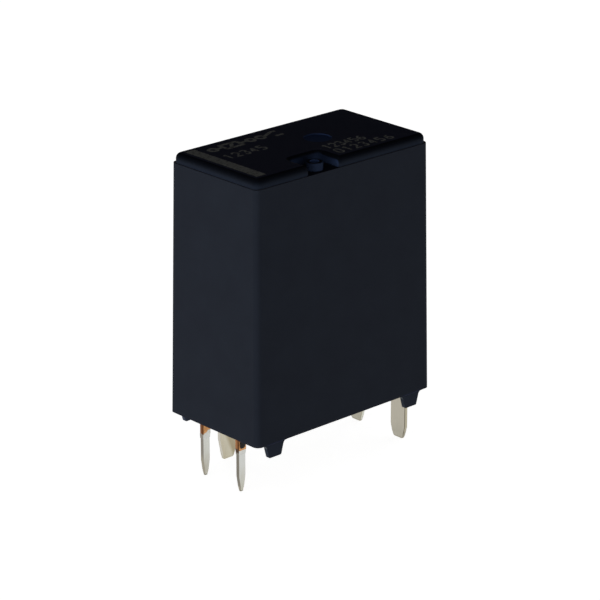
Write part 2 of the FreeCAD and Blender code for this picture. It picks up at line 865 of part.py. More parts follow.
def make_spring():
    """The leaf: a tongue on the yoke's back, two hinge straps over the corner, and the contact arm."""
    tongue_end = pole_height - spring_tongue_length
    lean = math.tan(travel)
    outer_x = yoke_back_x - spring_thickness
    inner_corner_z = hinge_z + armature_thickness / math.cos(travel)
    outer_corner_z = (hinge_z + (armature_thickness + spring_thickness) / math.cos(travel)
                      - spring_thickness * lean)
    reach = 2 * cover_length
    section = [
        (yoke_back_x, tongue_end, 0),
        (yoke_back_x, inner_corner_z, spring_bend),
        (yoke_back_x + reach, inner_corner_z + reach * lean, 0),
        (outer_x + reach, outer_corner_z + reach * lean, 0),
        (outer_x, outer_corner_z, spring_bend + spring_thickness),
        (outer_x, tongue_end, 0),
    ]
    half = spring_width / 2
    arm = spring_arm_width / 2
    taper_start_x = armature_front_x - spring_taper_lead
    taper_end_x = taper_start_x + spring_taper_length
    plan = [
        (-cover_length, -half, 0),
        (taper_start_x, -half, 0),
        (taper_end_x, -arm, 0),
        (spring_end_x, -arm, arm - spring_end_flat),
        (spring_end_x, arm, arm - spring_end_flat),
        (taper_end_x, arm, 0),
        (taper_start_x, half, 0),
        (-cover_length, half, 0),
    ]
    leaf = side_profile(section, -half, half)
    blank = plate(plan, tongue_end - cover_length, cap_top)
    for x, y in armature_rivet_places():
        blank = blank.cut(upright(x, y, armature_rivet_radius + rivet_hole_gap, hinge_z, cap_top))
    blank = blank.cut(upright(contact_x, 0, contact_shank_radius + rivet_hole_gap, hinge_z, cap_top))
    leaf = leaf.common(released(blank))
    window = block(outer_x - overshoot, yoke_back_x + spring_window_length, -spring_window_width / 2,
                   spring_window_width / 2, pole_height - spring_window_drop, spring_top + overshoot)
    return leaf.cut(window).cut(yoke_rivet_holes())


def make_moving_contact():
    """A rivet with a crowned silver face on each side of the spring."""
    low = armature_top - contact_head
    high = spring_top + contact_head
    points = [
        (0, low),
        (contact_flat_radius, low),
        (contact_radius, low + contact_crown),
        (contact_radius, armature_top),
        (contact_shank_radius, armature_top),
        (contact_shank_radius, spring_top),
        (contact_radius, spring_top),
        (contact_radius, high - contact_crown),
        (contact_flat_radius, high),
        (0, high),
    ]
    return released(turned(points, contact_x, 0))


def make_armature_rivets():
    """Rivets that hold the spring on the armature, heads up, closed ends just inside its underside."""
    rivets = []
    for x, y in armature_rivet_places():
        points = [
            (0, hinge_z + armature_rivet_recess),
            (armature_rivet_radius, hinge_z + armature_rivet_recess),
            (armature_rivet_radius, spring_top),
            (armature_rivet_head_radius, spring_top),
            (armature_rivet_head_radius - rivet_head_taper, spring_top + armature_rivet_head),
            (0, spring_top + armature_rivet_head),
        ]
        rivets.append(released(turned(points, x, y)))
    return Part.makeCompound(rivets)


def yoke_rivet_frame(shape, y):
    """Lays an upright rivet down so that its head faces -X at the yoke's back."""
    shape.rotate(origin, along_y, -90)
    shape.translate(FreeCAD.Vector(yoke_inner_x, y, pole_height - yoke_rivet_drop))
    return shape


def yoke_rivet_holes():
    holes = []
    for side in (-1, 1):
        hole = upright(0, 0, yoke_rivet_radius + rivet_hole_gap, -overshoot, yoke_thickness + overshoot)
        holes.append(yoke_rivet_frame(hole, side * yoke_rivet_spacing / 2))
    return holes


def make_yoke_rivets():
    """Rivets that hold the spring's tongue on the yoke."""
    neck = yoke_thickness + spring_thickness
    rivets = []
    for side in (-1, 1):
        points = [
            (0, 0),
            (yoke_rivet_radius, 0),
            (yoke_rivet_radius, neck),
            (yoke_rivet_head_radius, neck),
            (yoke_rivet_head_radius - rivet_head_taper, neck + yoke_rivet_head),
            (0, neck + yoke_rivet_head),
        ]
        rivets.append(yoke_rivet_frame(turned(points, 0, 0), side * yoke_rivet_spacing / 2))
    return Part.makeCompound(rivets)


def fixed_contact(face_z, direction):
    """A flat-faced rivet through a terminal's tab. direction points from the tab to the moving contact."""
    tab_near = face_z - direction * fixed_contact_head
    tab_far = tab_near - direction * blade_thickness
    tail = tab_far - direction * fixed_contact_tail
    points = [
        (0, face_z),
        (contact_radius, face_z),
        (contact_radius, tab_near),
        (fixed_contact_shank_radius, tab_near),
        (fixed_contact_shank_radius, tab_far),
        (fixed_contact_tail_radius, tab_far),
        (fixed_contact_tail_radius, tail),
        (0, tail),
    ]
    return turned(points, contact_x, 0)


def write(name, shape):
    for solid in shape.Solids:
        assert solid.isValid(), name
    shape.exportStep("parts/" + name + ".step")
    print(name, len(shape.Solids), "solid, volume", round(shape.Volume, 2))


os.makedirs("parts", exist_ok=True)
write("cover", make_cover())
write("base", make_base())
write("sealing_resin", make_resin())
write("coil_terminal_front", make_coil_terminal(-1))
write("coil_terminal_rear", make_coil_terminal(1))
write("coil_winding", make_winding())
write("coil_solder", make_coil_solder())
write("common_terminal", make_common_terminal())
write("no_terminal", bent_terminal(no_blade_y, no_tab_top, tab_corners(no_blade_y)))
write("nc_terminal", bent_terminal(nc_blade_y, nc_tab_top, tab_corners(nc_blade_y)))
write("no_contact", fixed_contact(no_face_z, 1))
write("nc_contact", fixed_contact(nc_face_z, -1))
write("yoke", make_yoke())
write("core", make_core())
write("bobbin", make_bobbin())
write("armature", make_armature())
write("contact_spring", make_spring())
write("moving_contact", make_moving_contact())
write("armature_rivets", make_armature_rivets())
write("yoke_rivets", make_yoke_rivets())
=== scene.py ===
import math
import random

import bmesh
import bpy
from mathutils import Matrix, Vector
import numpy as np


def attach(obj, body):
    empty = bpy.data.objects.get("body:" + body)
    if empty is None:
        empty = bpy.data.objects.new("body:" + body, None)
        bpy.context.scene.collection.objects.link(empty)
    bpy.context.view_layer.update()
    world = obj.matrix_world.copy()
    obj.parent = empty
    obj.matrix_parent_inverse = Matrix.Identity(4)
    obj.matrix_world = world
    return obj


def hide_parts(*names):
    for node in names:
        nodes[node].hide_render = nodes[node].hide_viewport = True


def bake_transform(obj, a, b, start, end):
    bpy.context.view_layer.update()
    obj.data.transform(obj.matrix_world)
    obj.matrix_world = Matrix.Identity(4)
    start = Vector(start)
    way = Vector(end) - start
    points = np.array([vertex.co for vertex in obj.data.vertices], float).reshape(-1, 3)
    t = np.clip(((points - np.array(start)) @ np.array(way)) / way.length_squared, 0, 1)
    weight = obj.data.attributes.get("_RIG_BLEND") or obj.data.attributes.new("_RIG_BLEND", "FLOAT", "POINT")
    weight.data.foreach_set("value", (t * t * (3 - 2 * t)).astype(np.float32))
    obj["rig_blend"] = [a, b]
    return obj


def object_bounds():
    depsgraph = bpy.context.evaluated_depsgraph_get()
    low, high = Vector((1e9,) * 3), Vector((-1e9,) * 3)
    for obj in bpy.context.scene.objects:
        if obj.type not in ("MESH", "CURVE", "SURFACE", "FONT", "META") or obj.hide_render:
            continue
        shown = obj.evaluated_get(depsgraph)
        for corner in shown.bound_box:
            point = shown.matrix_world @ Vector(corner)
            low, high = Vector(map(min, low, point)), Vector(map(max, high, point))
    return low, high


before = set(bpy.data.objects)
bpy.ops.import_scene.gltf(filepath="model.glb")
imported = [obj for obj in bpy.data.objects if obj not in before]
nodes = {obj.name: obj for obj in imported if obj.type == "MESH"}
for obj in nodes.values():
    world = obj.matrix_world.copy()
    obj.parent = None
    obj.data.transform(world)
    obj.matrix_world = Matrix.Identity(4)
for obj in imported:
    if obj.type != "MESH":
        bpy.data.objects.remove(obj)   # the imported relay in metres: board at z = 0, terminals below it
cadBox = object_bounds()
mm = 0.001
print("frame loaded,", len(nodes), "nodes")


# Shared material helpers

black = (0.0, 0.0, 0.0)
falling = (1.0, 0.0)


def newMaterial(name, roughness, metallic=0.0, specular=0.5):
    material = bpy.data.materials.new(name)
    material.use_nodes = True
    tree = material.node_tree
    shader = tree.nodes["Principled BSDF"]
    shader.inputs["Metallic"].default_value = metallic
    shader.inputs["Specular IOR Level"].default_value = specular
    shader.inputs["Roughness"].default_value = roughness
    return material, tree, shader


def perMillimetre(tree, stretch=(1, 1, 1)):
    # the piece's own coordinates in mm, so that a scale of 5 is five features to the millimetre
    coordinates = tree.nodes.new("ShaderNodeTexCoord")
    mapping = tree.nodes.new("ShaderNodeMapping")
    mapping.inputs["Scale"].default_value = [share / mm for share in stretch]
    tree.links.new(coordinates.outputs["Object"], mapping.inputs["Vector"])
    return mapping.outputs["Vector"]


def noise(tree, vector, scale, detail=2.0):
    texture = tree.nodes.new("ShaderNodeTexNoise")
    texture.inputs["Scale"].default_value = scale
    texture.inputs["Detail"].default_value = detail
    tree.links.new(vector, texture.inputs["Vector"])
    return texture.outputs["Fac"]


def ramp(tree, factor, stops):
    # stops are (position, colour) from low to high
    node = tree.nodes.new("ShaderNodeValToRGB")
    elements = node.color_ramp.elements
    while len(elements) < len(stops):
        elements.new(0.5)
    for element, (position, colour) in zip(elements, stops):
        element.position = position
        element.color = (*colour, 1)
    tree.links.new(factor, node.inputs["Fac"])
    return node.outputs["Color"]


def clouded(tree, factor, dark, light, positions=(0.3, 0.7)):
    return ramp(tree, factor, list(zip(positions, (dark, light))))


def reach(tree, value, fromRange, toRange=(0.0, 1.0)):
    node = tree.nodes.new("ShaderNodeMapRange")
    node.interpolation_type = "SMOOTHSTEP"
    node.inputs["From Min"].default_value, node.inputs["From Max"].default_value = fromRange
    node.inputs["To Min"].default_value, node.inputs["To Max"].default_value = toRange
    tree.links.new(value, node.inputs["Value"])
    return node.outputs["Result"]


def maths(tree, operation, *values):
    # each value is a number or a socket
    node = tree.nodes.new("ShaderNodeMath")
    node.operation = operation
    for socket, value in zip(node.inputs, values):
        if isinstance(value, (int, float)):
            socket.default_value = value
        else:
            tree.links.new(value, socket)
    return node.outputs[0]


def both(tree, first, second):
    return maths(tree, "MULTIPLY", first, second)


def opposite(tree, share):
    return maths(tree, "SUBTRACT", 1.0, share)


def mixed(tree, factor, first, second, blend="MIX"):
    # a colour is a tuple or a socket
    node = tree.nodes.new("ShaderNodeMix")
    node.data_type = "RGBA"
    node.blend_type = blend
    for socket, value in (("Factor", factor), ("A", first), ("B", second)):
        if isinstance(value, tuple):
            node.inputs[socket].default_value = (*value, 1)
        elif isinstance(value, float):
            node.inputs[socket].default_value = value
        else:
            tree.links.new(value, node.inputs[socket])
    return node.outputs["Result"]


def multiplied(tree, first, second):
    return mixed(tree, 1.0, first, second, "MULTIPLY")


def axes(tree, vector):
    node = tree.nodes.new("ShaderNodeSeparateXYZ")
    tree.links.new(vector, node.inputs[0])
    return node.outputs


def facing(tree):
    # how far the surface faces along x and along y, 0 to 1, and upwards, -1 to 1
    geometry = tree.nodes.new("ShaderNodeNewGeometry")
    normal = axes(tree, geometry.outputs["Normal"])
    return maths(tree, "ABSOLUTE", normal["X"]), maths(tree, "ABSOLUTE", normal["Y"]), normal["Z"]


def within(tree, value, low, high, fade):
    # 1 between low and high, falling to 0 over fade on either side
    rise = reach(tree, value, (low - fade, low))
    fall = reach(tree, value, (high, high + fade), falling)
    return both(tree, rise, fall)


def bump(tree, shader, height, distance, strength=1.0):
    node = tree.nodes.new("ShaderNodeBump")
    node.inputs["Strength"].default_value = strength
    node.inputs["Distance"].default_value = distance * mm
    tree.links.new(height, node.inputs["Height"])
    tree.links.new(node.outputs["Normal"], shader.inputs["Normal"])


def dress(material, *names):
    for name in names:
        slots = nodes[name].data.materials
        if slots:
            slots[0] = material
        else:
            slots.append(material)


# Black moulding of the cover, with a fine spark texture

coverFinish = {
    # a range with a third number fades out over that length on either side
    "dark": (0.0122, 0.0148, 0.0217),
    "light": (0.0136, 0.0167, 0.0242),
    "cloudScale": 0.35,
    "roughness": (0.5, 0.62), "specular": 0.03,
    "grainScale": 9.0,       # grains per mm
    "grainHeight": 0.006,
    "top": (0.0138, 0.0152, 0.0290), "topFacing": (0.965, 0.99), "topLevel": (27.08, 27.1),
    # painted shade of the cap's rounded sides, darker from the ledge up to the top edge, with painted bluish
    # light low down
    "capFrom": (26.14, 26.18), "capFoot": 26.17, "capHeight": 0.95,
    "capShade": [(0.0, (0.87, 0.96, 1.08)), (0.25, (0.77, 0.86, 0.98)), (0.5, (0.36, 0.41, 0.47)),
                 (0.7, (0.22, 0.23, 0.26)), (1.0, (0.15, 0.15, 0.17))],
    # the narrow ledge under the cap
    "ledgeColour": (0.020, 0.014, 0.012), "ledge": (26.12, 26.18, 0.02),
    # polished pockets of the mould, with painted bluish reflections: the gate mark, the notch, the stub in it
    # and the stub's bore
    "gateReflection": (0.0175, 0.031, 0.082), "gate": (2.1, 0.0, 1.33), "gateLevel": (26.85, 26.9),
    "notchX": (-4.32, -0.56, 0.05), "notchY": (-5.7, -2.9, 0.2),
    # the notch's walls get painted shade, darker towards the top
    "notchShade": [(0.0, (0.015, 0.024, 0.050)), (0.45, (0.017, 0.028, 0.062)), (0.68, (0.013, 0.021, 0.046)),
                   (0.84, (0.004, 0.006, 0.011)), (1.0, (0.0015, 0.0018, 0.0025))],
    "stubReflection": (0.0135, 0.021, 0.043), "stub": (-2.6, -4.6, 0.84),
    # painted shade: a dark ring on the stub's top edge
    "stubTop": (0.003, 0.004, 0.007), "stubTopLevel": (26.86, 26.95),
    "boreReflection": (0.045, 0.078, 0.19), "bore": (-2.6, -4.6, 0.45),
    "rimFade": (-0.02, 0.03),    # where a round mark fades, from its rim outwards
    "floorFacing": (0.90, 0.97),
    "floorShade": 0.25,      # shade of the notch's floor and the stub's ring
    # feet, with painted light: lighter and bluer than the wall at the front, lighter still at the sides and
    # rear
    "foot": (0.0160, 0.0200, 0.0305), "footLevel": (1.22, 1.32),
    "footSide": (0.0215, 0.0270, 0.0390), "footSideFacing": (0.6, 0.9),
    "footRear": (0.040, 0.050, 0.078), "footRearFrom": (4.0, 5.0),
    # painted highlight on the flare under the wall, where it catches the light
    "flare": (0.075, 0.084, 0.090), "flareLevel": (1.0, 1.36, 0.06), "flareFacing": (0.3, 0.93, 0.04),
    "flareAlong": (0.3, 0.5),
    # painted highlight on the line at the feet's root
    "footLine": (0.0165, 0.0205, 0.0400), "footLineLevel": (1.33, 1.47, 0.02), "footLineAlong": (0.4, 0.6),
    "footX": [(-10.0, -7.85, 0.1), (7.65, 9.8, 0.1)],
}


def discShare(tree, place, disc):
    x, y, radius = disc
    away = maths(tree, "POWER", maths(tree, "ABSOLUTE", maths(tree, "SUBTRACT", place["X"], x)), 2.0)
    aside = maths(tree, "POWER", maths(tree, "ABSOLUTE", maths(tree, "SUBTRACT", place["Y"], y)), 2.0)
    distance = maths(tree, "SQRT", maths(tree, "ADD", away, aside))
    return reach(tree, distance, [radius + fade for fade in coverFinish["rimFade"]], falling)


def capShading(tree, place, upward, colour):
    # painted shade on the rounded sides, darker towards the top, with the notch, its stub and bore, and the
    # ledge
    f = coverFinish
    inCap = reach(tree, place["Z"], f["capFrom"])
    rise = maths(tree, "DIVIDE", maths(tree, "SUBTRACT", place["Z"], f["capFoot"]), f["capHeight"])
    shaded = multiplied(tree, colour, ramp(tree, rise, f["capShade"]))
    colour = mixed(tree, inCap, colour, shaded)
    notch = both(tree, within(tree, place["X"], *f["notchX"]), within(tree, place["Y"], *f["notchY"]))
    notch = both(tree, notch, inCap)
    stub = both(tree, discShare(tree, place, f["stub"]), inCap)
    bore = both(tree, discShare(tree, place, f["bore"]), inCap)
    # painted shade and bluish reflection up the notch's walls, painted reflection on the stub
    colour = mixed(tree, notch, colour, ramp(tree, rise, f["notchShade"]))
    colour = mixed(tree, stub, colour, f["stubReflection"])
    level = reach(tree, upward, f["floorFacing"])
    floor = both(tree, level, maths(tree, "MAXIMUM", notch, stub))
    colour = mixed(tree, both(tree, floor, 1.0 - f["floorShade"]), colour, black)
    # painted shade on the stub's top edge, painted reflection in the bore
    stubTop = both(tree, stub, reach(tree, place["Z"], f["stubTopLevel"]))
    colour = mixed(tree, stubTop, colour, f["stubTop"])
    colour = mixed(tree, bore, colour, f["boreReflection"])
    ledge = both(tree, level, within(tree, place["Z"], *f["ledge"]))
    colour = mixed(tree, both(tree, ledge, opposite(tree, notch)), colour, f["ledgeColour"])
    return colour, notch


def footShading(tree, place, across, along, colour):
    f = coverFinish
    # painted light: the feet lighter and bluer than the wall, more so on their sides and on the rear feet
    foot = mixed(tree, reach(tree, across, f["footSideFacing"]), f["foot"], f["footSide"])
    foot = mixed(tree, reach(tree, place["Y"], f["footRearFrom"]), foot, f["footRear"])
    colour = mixed(tree, reach(tree, place["Z"], f["footLevel"], falling), colour, foot)
    # painted highlight on the flare under the wall
    flare = both(tree, within(tree, place["Z"], *f["flareLevel"]), within(tree, across, *f["flareFacing"]))
    flare = both(tree, flare, reach(tree, along, f["flareAlong"], falling))
    colour = mixed(tree, flare, colour, f["flare"])
    # painted highlight along the line at the feet's root
    overFoot = maths(tree, "MAXIMUM", *[within(tree, place["X"], *span) for span in f["footX"]])
    line = both(tree, overFoot, within(tree, place["Z"], *f["footLineLevel"]))
    line = both(tree, line, reach(tree, along, f["footLineAlong"]))
    return mixed(tree, line, colour, f["footLine"])


def coverPlastic():
    f = coverFinish
    material, tree, shader = newMaterial("coverPlastic", 0.5, specular=f["specular"])
    point = perMillimetre(tree)
    place = axes(tree, point)
    across, along, upward = facing(tree)
    colour = clouded(tree, noise(tree, point, f["cloudScale"], 3), f["dark"], f["light"])
    colour, notch = capShading(tree, place, upward, colour)
    colour = footShading(tree, place, across, along, colour)
    flat = both(tree, reach(tree, upward, f["topFacing"]), reach(tree, place["Z"], f["topLevel"]))
    colour = mixed(tree, flat, colour, f["top"])
    # painted bluish reflection on the gate mark
    gate = both(tree, discShare(tree, place, f["gate"]), reach(tree, place["Z"], f["gateLevel"]))
    colour = mixed(tree, gate, colour, f["gateReflection"])
    tree.links.new(colour, shader.inputs["Base Color"])
    grain = noise(tree, point, f["grainScale"], 4)
    tree.links.new(reach(tree, grain, (0.2, 0.8), f["roughness"]), shader.inputs["Roughness"])
    polished = maths(tree, "MAXIMUM", gate, notch)
    bump(tree, shader, both(tree, grain, opposite(tree, polished)), f["grainHeight"])
    return material


# Base plate and the resin that closes the bottom

baseFinish = {"dark": (0.011, 0.012, 0.014), "light": (0.016, 0.017, 0.02), "cloudScale": 0.8,
              "specular": 0.35, "grainScale": 14.0, "grainHeight": 0.004}
resinFinish = {"deep": (0.010, 0.0085, 0.0075), "clear": (0.026, 0.021, 0.017), "roughness": 0.24,
               "specular": 0.4, "coat": 0.3, "coatRoughness": 0.15, "flowScale": 0.6, "flowHeight": 0.06}
runFinish = {**resinFinish, "deep": (0.011, 0.0085, 0.007), "clear": (0.019, 0.015, 0.012),
             "specular": 0.12, "coat": 0.0}


def basePlastic():
    f = baseFinish
    material, tree, shader = newMaterial("basePlastic", 0.5, specular=f["specular"])
    point = perMillimetre(tree)
    colour = clouded(tree, noise(tree, point, f["cloudScale"]), f["dark"], f["light"])
    tree.links.new(colour, shader.inputs["Base Color"])
    bump(tree, shader, noise(tree, point, f["grainScale"], 3), f["grainHeight"])
    return material


def castResin(name, f):
    material, tree, shader = newMaterial(name, f["roughness"], specular=f["specular"])
    flow = noise(tree, perMillimetre(tree), f["flowScale"], 3)
    colour = clouded(tree, flow, f["deep"], f["clear"], (0.3, 0.75))
    tree.links.new(colour, shader.inputs["Base Color"])
    shader.inputs["Coat Weight"].default_value = f["coat"]
    shader.inputs["Coat Roughness"].default_value = f["coatRoughness"]
    bump(tree, shader, flow, f["flowHeight"], strength=0.5)
    return material


# Tinned terminals: bright rolled faces, duller sheared edges, darker corners
# their tones by which way they face, and each terminal's copy, are partly painted reflection

tinSet = {
    "streaks": (5.0, 5.0, 0.4), "clouds": (1.2, 1.2, 0.7),    # per mm along x, y and z
    "roughness": (0.26, 0.4), "streakHeight": 0.008,
    "streakDim": (0.07, -0.04),     # share of black from the darkest streak to the lightest, none below 0
    "wander": (-0.5, 0.5),          # how far the clouds move the limits between shades
    "edgeFacing": (0.75, 0.97),
    "cornerFacing": (0.18, 0.45),
    "lineFade": (-0.02, 0.05), "lineFacing": (0.6, 0.9),
    "tipRange": (-4.4, -4.15), "tipShare": 0.85,
}
pinFinish = {
    "face": (0.63, 0.64, 0.61),
    "low": (0.52, 0.505, 0.425),    # towards the tip
    "edge": (0.205, 0.188, 0.155),
    "edgeLow": (0.34, 0.31, 0.245),
    "corner": (0.17, 0.15, 0.12), "cornerShare": 0.8,
    "tip": (0.12, 0.11, 0.08),
    "edgeAxis": "X",
    "lowRange": (-4.0, -1.4), "edgeRange": (-3.9, -3.0),
}
rearPinFinish = {
    **pinFinish,
    # toned apart from the front pin, partly by painted reflection
    "face": (0.627, 0.632, 0.583),
    "low": (0.48, 0.458, 0.389),
    "edge": (0.245, 0.225, 0.193),
    "corner": (0.21, 0.195, 0.165),
    "edgeRange": (-3.2, -2.2),
}
bladeFinish = {
    "face": (0.47, 0.44, 0.365),
    "low": (0.41, 0.39, 0.32),
    "edge": (0.44, 0.40, 0.295),
    "edgeLow": (0.30, 0.275, 0.205),
    "corner": (0.20, 0.175, 0.125), "cornerShare": 0.8,
    "tip": (0.25, 0.22, 0.16),
    "edgeAxis": "Y",
    "lowRange": (-4.4, -2.2), "edgeRange": (-3.9, -3.0),
    # a darker line along the corner: where it lies across the sheared edge
    "lineX": 9.74, "line": (0.09, 0.08, 0.055),
}
ncBladeFinish = {
    **bladeFinish,
    # painted reflection: this blade's sheared edge lighter than its face
    "edge": (0.60, 0.60, 0.52),
    "edgeLow": (0.58, 0.58, 0.50),
    "line": (0.42, 0.38, 0.27),
}
commonFinish = {
    "face": (0.61, 0.575, 0.46),
    "low": (0.56, 0.53, 0.42),
    "edge": (0.57, 0.54, 0.475),
    "edgeLow": (0.50, 0.47, 0.39),
    "corner": (0.50, 0.47, 0.38), "cornerShare": 0.5,
    "tip": (0.40, 0.37, 0.28),
    "edgeAxis": "X",
    "lowRange": (-4.4, -2.2), "edgeRange": (-3.9, -3.0),
    # painted shadow: a soft dark band leaning across the blade: duller left side, bright face, band, right
    # side
    "bandStart": -8.03, "bandWidth": 2.2, "bandLean": -0.4,
    "shadowBands": [(0.0, 0.87), (0.42, 0.96), (0.6, 0.65), (1.0, 0.72)],
    "bandTint": (1.0, 1.22, 1.66),  # powers that warm a band's shade
}


def leaningShadow(tree, f, place):
    # painted shadow leaning across the blade
    lean = both(tree, place["Z"], f["bandLean"])
    offset = maths(tree, "SUBTRACT", maths(tree, "SUBTRACT", place["X"], f["bandStart"]), lean)
    stops = [(at, [shade ** power for power in f["bandTint"]]) for at, shade in f["shadowBands"]]
    return ramp(tree, both(tree, offset, 1.0 / f["bandWidth"]), stops)


def tinned(name, f):
    t = tinSet
    material, tree, shader = newMaterial(name, 0.32, metallic=1.0)
    streak = noise(tree, perMillimetre(tree, t["streaks"]), 1.0, 3)
    cloud = noise(tree, perMillimetre(tree, t["clouds"]), 1.0, 3)
    place = axes(tree, perMillimetre(tree))
    across, along = facing(tree)[:2]
    height = maths(tree, "ADD", place["Z"], reach(tree, cloud, (0.3, 0.7), t["wander"]))
    face = mixed(tree, reach(tree, height, f["lowRange"]), f["low"], f["face"])
    # painted shadow band on the common blade
    if "shadowBands" in f:
        face = multiplied(tree, face, leaningShadow(tree, f, place))
    # edges and corners toned by which way they face: partly the sheared finish, partly painted reflection
    edge = mixed(tree, reach(tree, height, f["edgeRange"]), f["edgeLow"], f["edge"])
    edgeWay = across if f["edgeAxis"] == "X" else along
    colour = mixed(tree, reach(tree, edgeWay, t["edgeFacing"]), face, edge)
    corner = reach(tree, both(tree, across, along), t["cornerFacing"], (0.0, f["cornerShare"]))
    colour = mixed(tree, corner, colour, f["corner"])
    # a darker line along the blade's corner
    if "lineX" in f:
        line = reach(tree, place["X"], [f["lineX"] + fade for fade in t["lineFade"]], falling)
        line = both(tree, line, reach(tree, along, t["lineFacing"]))
        colour = mixed(tree, line, colour, f["line"])
    colour = mixed(tree, reach(tree, place["Z"], t["tipRange"], (t["tipShare"], 0.0)), colour, f["tip"])
    colour = mixed(tree, reach(tree, streak, (0.25, 0.75), t["streakDim"]), colour, black)
    tree.links.new(colour, shader.inputs["Base Color"])
    tree.links.new(reach(tree, streak, (0.2, 0.8), t["roughness"]), shader.inputs["Roughness"])
    bump(tree, shader, streak, t["streakHeight"], strength=0.5)
    return material


# Metals and mouldings inside the cover

metalSet = {
    "clouds": (3, 3, 3),            # per mm along x, y and z
    "roughnessSpread": (-0.06, 0.08),
    "cloudHeight": 0.004,
}
ironFinish = {"dark": (0.42, 0.41, 0.39), "light": (0.55, 0.54, 0.52), "roughness": 0.34}
silverFinish = {"dark": (0.62, 0.61, 0.58), "light": (0.72, 0.71, 0.69), "roughness": 0.26}
steelFinish = {"dark": (0.38, 0.38, 0.37), "light": (0.48, 0.48, 0.47), "roughness": 0.32}
bronzeFinish = {"dark": (0.50, 0.27, 0.12), "light": (0.62, 0.36, 0.18), "roughness": 0.3,
                "clouds": (0.5, 6, 6)}
nylonFinish = {"dark": (0.60, 0.56, 0.47), "light": (0.68, 0.65, 0.56), "roughness": 0.42,
               "cloudScale": 0.5, "grainScale": 10, "grainHeight": 0.003,
               "through": 0.1, "throughDepth": 0.5}


def plainMetal(name, finish):
    f = {**metalSet, **finish}
    material, tree, shader = newMaterial(name, f["roughness"], metallic=1.0)
    cloud = noise(tree, perMillimetre(tree, f["clouds"]), 1.0, 4)
    tree.links.new(clouded(tree, cloud, f["dark"], f["light"]), shader.inputs["Base Color"])
    rough = reach(tree, cloud, (0.2, 0.8), [f["roughness"] + more for more in f["roughnessSpread"]])
    tree.links.new(rough, shader.inputs["Roughness"])
    bump(tree, shader, cloud, f["cloudHeight"])
    return material


def naturalNylon():
    f = nylonFinish
    material, tree, shader = newMaterial("naturalNylon", f["roughness"])
    point = perMillimetre(tree)
    colour = clouded(tree, noise(tree, point, f["cloudScale"], 3), f["dark"], f["light"])
    tree.links.new(colour, shader.inputs["Base Color"])
    shader.inputs["Subsurface Weight"].default_value = f["through"]
    shader.inputs["Subsurface Scale"].default_value = f["throughDepth"] * mm
    bump(tree, shader, noise(tree, point, f["grainScale"], 3), f["grainHeight"])
    return material


# Solder under the wraps, dark brown at its top on the pins' outer side

solderFinish = {
    "bright": (0.63, 0.635, 0.60), "dim": 0.85, "cloudScale": 3.0, "lumpHeight": 0.01,
    # the outer side darker in the pins' edge tones, painted reflection
    "side": (0.205, 0.188, 0.155), "rearSide": (0.245, 0.225, 0.193),
    "sideFacing": (0.4, 0.8), "rearFrom": (0.0, 1.0),
    "darkBrown": (0.06, 0.032, 0.015), "darkBrownRange": (-0.42, -0.3),
}


def solderMetal():
    f = solderFinish
    material, tree, shader = newMaterial("solderMetal", 0.28, metallic=1.0)
    point = perMillimetre(tree)
    place = axes(tree, point)
    across = facing(tree)[0]
    cloud = noise(tree, point, f["cloudScale"], 3)
    bright = clouded(tree, cloud, [f["dim"] * share for share in f["bright"]], f["bright"])
    side = mixed(tree, reach(tree, place["Z"], f["darkBrownRange"]), f["side"], f["darkBrown"])
    side = mixed(tree, reach(tree, place["Y"], f["rearFrom"]), side, f["rearSide"])
    colour = mixed(tree, reach(tree, across, f["sideFacing"]), bright, side)
    tree.links.new(colour, shader.inputs["Base Color"])
    bump(tree, shader, cloud, f["lumpHeight"], strength=0.6)
    return material


# Dressing of the CAD nodes, and the softening of their arrises

softSet = {
    "weld": 0.002,           # closes the imported mesh
    "flat": 0.4,             # faces within this many degrees count as one
    "arris": 32,             # edges above this many degrees are rounded
    "steps": 2,
    "weight": 80,
}
arrisWidths = {
    "cover": 0.05,
    "coil_terminal_front": 0.03, "coil_terminal_rear": 0.03, "coil_solder": 0.02,
    "common_terminal": 0.04, "no_terminal": 0.04, "nc_terminal": 0.04,
    "base": 0.1, "bobbin": 0.1, "yoke": 0.1, "armature": 0.1,
    "core": 0.06, "armature_rivets": 0.06, "yoke_rivets": 0.06,
    "no_contact": 0.06, "nc_contact": 0.06, "moving_contact": 0.06,
}


def softenEdges(name, width):
    s = softSet
    piece = nodes[name]
    weld = piece.modifiers.new("weld", "WELD")
    weld.merge_threshold = s["weld"] * mm
    flat = piece.modifiers.new("flat", "DECIMATE")
    flat.decimate_type = "DISSOLVE"
    flat.angle_limit = math.radians(s["flat"])
    soft = piece.modifiers.new("soft", "BEVEL")
    soft.width = width * mm
    soft.segments = s["steps"]
    soft.limit_method = "ANGLE"
    soft.angle_limit = math.radians(s["arris"])
    soft.miter_outer = "MITER_ARC"
    weight = piece.modifiers.new("weight", "WEIGHTED_NORMAL")
    weight.weight = s["weight"]
    weight.keep_sharp = False


dress(coverPlastic(), "cover")
dress(basePlastic(), "base")
dress(castResin("castResin", resinFinish), "sealing_resin")
dress(tinned("frontPinTin", pinFinish), "coil_terminal_front")
dress(tinned("rearPinTin", rearPinFinish), "coil_terminal_rear")
dress(tinned("commonBladeTin", commonFinish), "common_terminal")
dress(tinned("openBladeTin", bladeFinish), "no_terminal")
dress(tinned("closedBladeTin", ncBladeFinish), "nc_terminal")
dress(plainMetal("platedIron", ironFinish), "yoke", "core", "armature")
dress(plainMetal("contactSilver", silverFinish), "no_contact", "nc_contact", "moving_contact")
dress(plainMetal("rivetSteel", steelFinish), "armature_rivets", "yoke_rivets")
dress(naturalNylon(), "bobbin")
dress(solderMetal(), "coil_solder")
for nodeName, arrisWidth in arrisWidths.items():
    softenEdges(nodeName, arrisWidth)
print("CAD nodes dressed")


# Mesh building shared by the made pieces

def newObject(name, data):
    made = bpy.data.objects.new(name, data)
    bpy.context.collection.objects.link(made)
    return made


